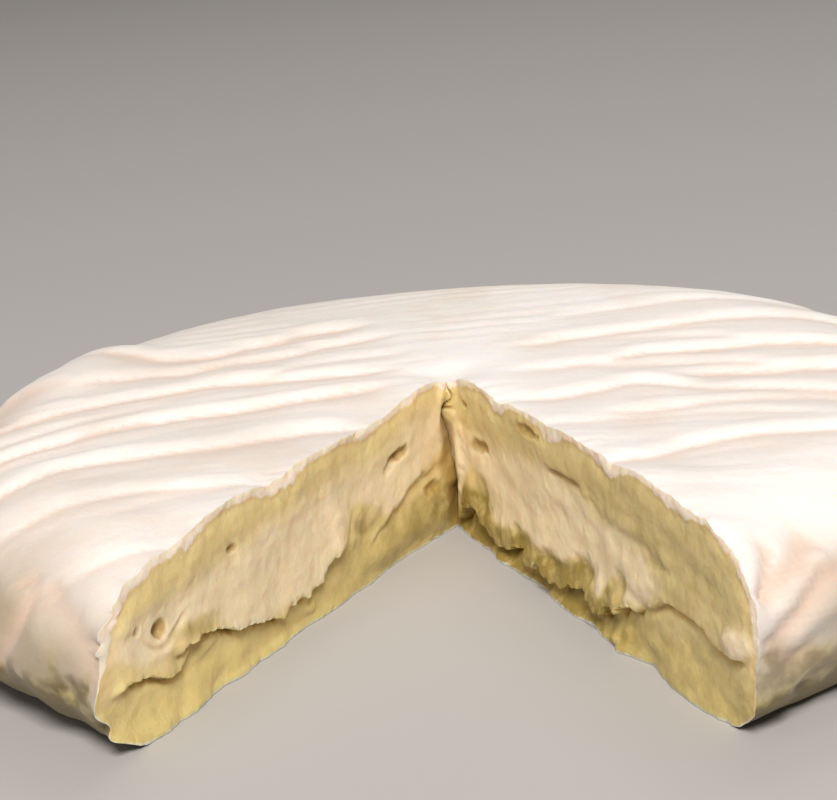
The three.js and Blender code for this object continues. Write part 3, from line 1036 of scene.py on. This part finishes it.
def bloomyRind():
    material, tree, shader = newMaterial("bloomyRind")
    place = addNode(tree, "ShaderNodeTexCoord").outputs["Object"]
    soft = noiseNode(tree, place, 22, 4, 0.6)
    fine = noiseNode(tree, place, 3.2, 5, 0.65)
    colour = mixNode(tree, rangeNode(tree, soft, 0.46, 0.72), bloom["white"], bloom["cream"])
    colour = mixNode(tree, spread(tree, soft, 0.6, 0.6, readNode(tree, "agedAndShade")), colour, bloom["side"])
    # painted shade in the folds of the top and the creases of the side
    colour = mixNode(tree, spread(tree, fine, 0.4, 0.62, readNode(tree, "foldShade")), colour, bloom["foldShade"])
    # moist, yellow-brown patches where the foot curls under, together with painted shade there
    dampAndShade = readNode(tree, "dampAndShade")
    speck = mathNode(tree, "MULTIPLY_ADD", dampAndShade, 0.4, noiseNode(tree, place, 6, 5, 0.6))
    patchy = mixNode(tree, rangeNode(tree, speck, 0.56, 0.86), bloom["footPale"], bloom["foot"])
    colour = mixNode(tree, rangeNode(tree, dampAndShade, 0.0, 0.95), colour, patchy)
    nap = bumpNode(tree, noiseNode(tree, place, 0.9, 4, 0.7), 0.16, 0.6)
    setInputs(tree, shader, {
        "Base Color": colour,
        "Roughness": rangeNode(tree, fine, 0.3, 0.7, 0.72, 0.9, "LINEAR"),
        "Normal": bumpNode(tree, fine, 0.35, 0.55, nap),
        "Subsurface Weight": 0.35,
        "Subsurface Radius": (1.0, 0.6, 0.35),
        "Subsurface Scale": 0.0025,
        "Sheen Weight": 0.25,
        "Sheen Roughness": 0.5,
        "Specular IOR Level": 0.25,
    })
    return material


paste = {
    "creamline": (0.82, 0.665, 0.335, 1),
    "core": (0.87, 0.73, 0.505, 1),
    "foot": (0.79, 0.64, 0.28, 1),
    # dark olive: partly ripeness, partly painted shade along the foot strip and in the dents
    "ripeAndShade": (0.31, 0.23, 0.06, 1),
    # painted shade in cracks, pits and the corner where the two faces meet
    "hollowShade": (0.42, 0.27, 0.07, 1),
    "rind": (0.86, 0.77, 0.66, 1),
}


def ripePaste():
    material, tree, shader = newMaterial("ripePaste")
    place = addNode(tree, "ShaderNodeTexCoord").outputs["Object"]
    height = addNode(tree, "ShaderNodeSeparateXYZ", {0: place}).outputs[2]
    soft = noiseNode(tree, place, 11, 4, 0.6)
    fine = noiseNode(tree, place, 2.4, 5, 0.65)
    uneven = mathNode(tree, "MULTIPLY_ADD", soft, 0.008, height)
    low = mathNode(tree, "SUBTRACT", 1.0, rangeNode(tree, uneven, 0.009, 0.017))
    colour = mixNode(tree, low, paste["creamline"], paste["foot"])
    colour = mixNode(tree, spread(tree, fine, 0.5, 0.7, readNode(tree, "core")), colour, paste["core"])
    mottle = rangeNode(tree, noiseNode(tree, place, 5, 5, 0.65), 0.3, 0.7)
    speck = rangeNode(tree, noiseNode(tree, place, 1.5, 5, 0.7), 0.35, 0.75)
    # the dark ripe colour: olive ripeness, and painted shade along the foot strip and in the dents
    ripeAndShade = spread(tree, mottle, 0.7, 0.5, readNode(tree, "ripeAndShade"))
    ripeAndShade = mathNode(tree, "MULTIPLY_ADD", mathNode(tree, "ADD", speck, mottle), 0.07, ripeAndShade)
    colour = mixNode(tree, ripeAndShade, colour, paste["ripeAndShade"])
    # painted shade in cracks, pits and the corner
    hollowShade = mathNode(tree, "MULTIPLY", rangeNode(tree, readNode(tree, "hollowShade"), 0.1, 0.9), 0.8)
    colour = mixNode(tree, hollowShade, colour, paste["hollowShade"])
    # the rind's cut edge, where the distance inside it, roughened, is near 0
    rough = mathNode(tree, "SUBTRACT", fine, 0.5)
    inside = mathNode(tree, "MULTIPLY_ADD", rough, 1.2, readNode(tree, "inside"))
    rindShare = mathNode(tree, "SUBTRACT", 1.0, rangeNode(tree, inside, -0.35, 0.35))
    grain = bumpNode(tree, noiseNode(tree, place, 0.9, 4, 0.65), 0.16, 0.6)
    setInputs(tree, shader, {
        "Base Color": mixNode(tree, rindShare, colour, paste["rind"]),
        "Roughness": rangeNode(tree, fine, 0.3, 0.7, 0.42, 0.6, "LINEAR"),
        "Normal": bumpNode(tree, fine, 0.45, 0.6, grain),
        "Subsurface Weight": 0.7,
        "Subsurface Radius": (1.0, 0.55, 0.22),
        "Subsurface Scale": 0.003,
        "Specular IOR Level": 0.35,
    })
    return material


cheese = makeWheel()
cheese.data.materials.append(bloomyRind())
cheese.data.materials.append(ripePaste())
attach(cheese, "root")
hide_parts("cheese_wheel")

studio = {
    "floorColour": (0.46, 0.455, 0.45, 1),
    "floorGap": 0.1,  # the floor lies this far under the wheel, in millimetres
    "floorHalf": 6.0,
    "surround": (0.82, 0.76, 0.70, 1),
    "surroundStrength": 0.18,
    # name: (turn from the front, height angle, distance in metres, width, watts, colour)
    "lamps": {
        "keyLamp": (6, 45.5, 2.0, 0.7, 45.5, (1.0, 0.945, 0.90)),
        "fillLamp": (-50, 30, 1.3, 0.9, 1.1, (1.0, 0.95, 0.90)),
        "backLamp": (165, 55, 1.4, 0.8, 3.0, (1.0, 0.96, 0.93)),
    },
}


def makeFloor():
    half, under = studio["floorHalf"], -studio["floorGap"] * mm
    corners = [(-half, -half, under), (half, -half, under), (half, half, under), (-half, half, under)]
    mesh = bpy.data.meshes.new("floor")
    mesh.from_pydata(corners, [], [(0, 1, 2, 3)])
    floor = bpy.data.objects.new("floor", mesh)
    bpy.context.scene.collection.objects.link(floor)
    material, tree, shader = newMaterial("paleFloor")
    setInputs(tree, shader, {"Base Color": studio["floorColour"], "Roughness": 0.7})
    mesh.materials.append(material)


def makeLamps():
    for name, (turn, rise, far, width, watts, colour) in studio["lamps"].items():
        turn, rise = np.radians([turn, rise])
        toLamp = Vector((np.sin(turn) * np.cos(rise), -np.cos(turn) * np.cos(rise), np.sin(rise)))
        data = bpy.data.lights.new(name, "AREA")
        data.shape = "DISK"
        data.size = width
        data.energy = watts
        data.color = colour
        lamp = bpy.data.objects.new(name, data)
        lamp.location = toLamp * far
        lamp.rotation_euler = toLamp.to_track_quat("Z", "Y").to_euler()
        bpy.context.scene.collection.objects.link(lamp)


def makeSurround():
    world = bpy.data.worlds.new("surround")
    world.use_nodes = True
    background = world.node_tree.nodes["Background"]
    background.inputs[0].default_value = studio["surround"]
    background.inputs[1].default_value = studio["surroundStrength"]
    bpy.context.scene.world = world


makeFloor()
makeLamps()
makeSurround()
bpy.context.scene.view_settings.view_transform = "Standard"
print("studio lit")
